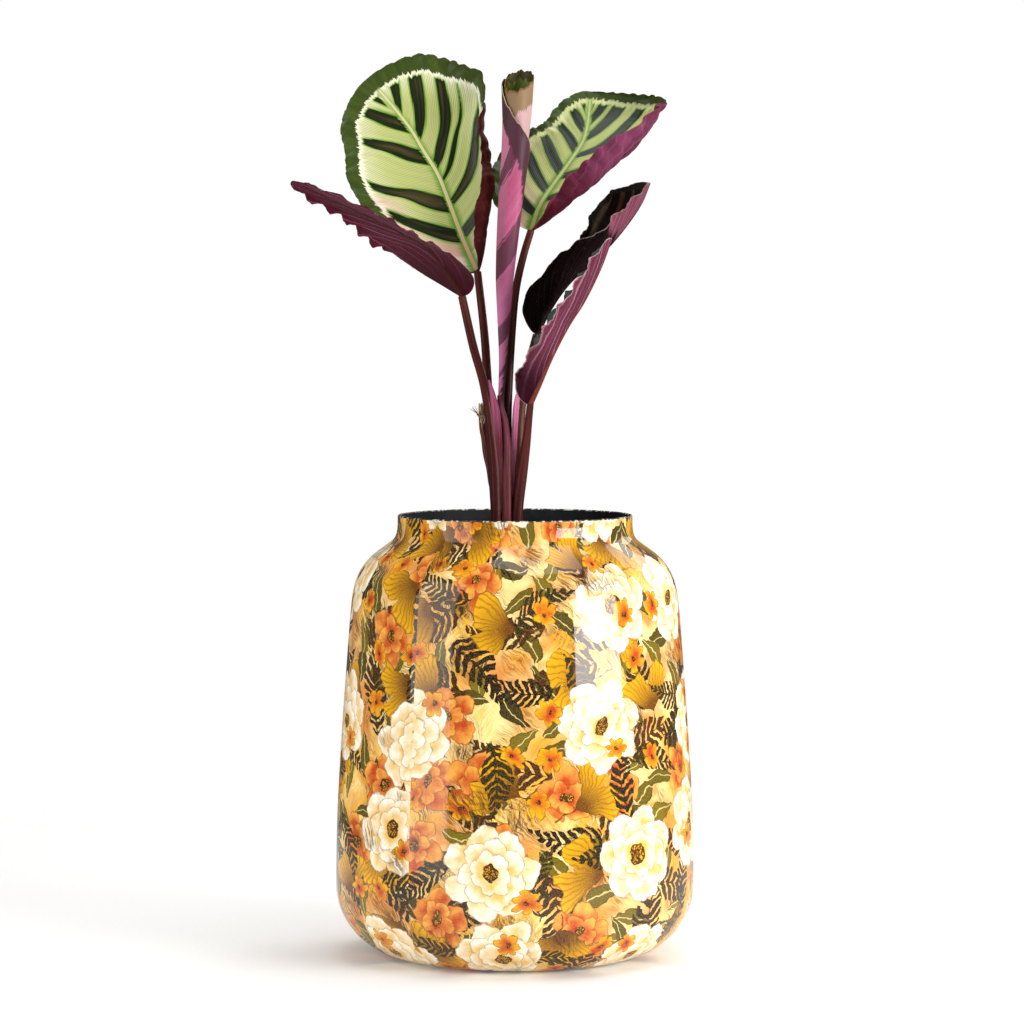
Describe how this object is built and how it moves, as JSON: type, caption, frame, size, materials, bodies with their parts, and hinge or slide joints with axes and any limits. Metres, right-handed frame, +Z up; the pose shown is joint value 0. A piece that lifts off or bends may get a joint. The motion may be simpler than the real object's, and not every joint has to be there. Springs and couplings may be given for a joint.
{
  "type": "potted calathea",
  "caption": "Young prayer plant with waved, striped leaves on upright petioles, standing in soil in a shouldered lacquered metal vase.",
  "frame": {"origin": "centre of the vase's flat underside", "axes": "+Z up along the vase's axis towards the leaves; -Y is the front, where the large striped leaf shows its face; +X to the viewer's right"},
  "size_m": [0.2216, 0.2, 0.5033],
  "materials": {
    "lacquer": "gloss",
    "soil": "matte",
    "patterned_leaf": "satin",
    "leaf_underside": "satin",
    "rolled_leaf": "satin",
    "petiole": "satin",
    "dry_stub": "matte"
  },
  "bodies": {
    "root": {"pot": "lacquer", "soil": "soil", "leaf_upper_left": "patterned_leaf", "leaf_upper_right": "patterned_leaf", "leaf_left": "leaf_underside", "leaf_right": "leaf_underside", "leaf_lower_right": "leaf_underside", "leaf_rolled": "rolled_leaf", "petiole_left": "petiole", "petiole_rolled": "petiole", "petiole_lower_right": "petiole", "petiole_upper_left": "petiole", "petiole_upper_right": "petiole", "petiole_right": "petiole", "old_stub": "dry_stub"}
  },
  "joints": []
}
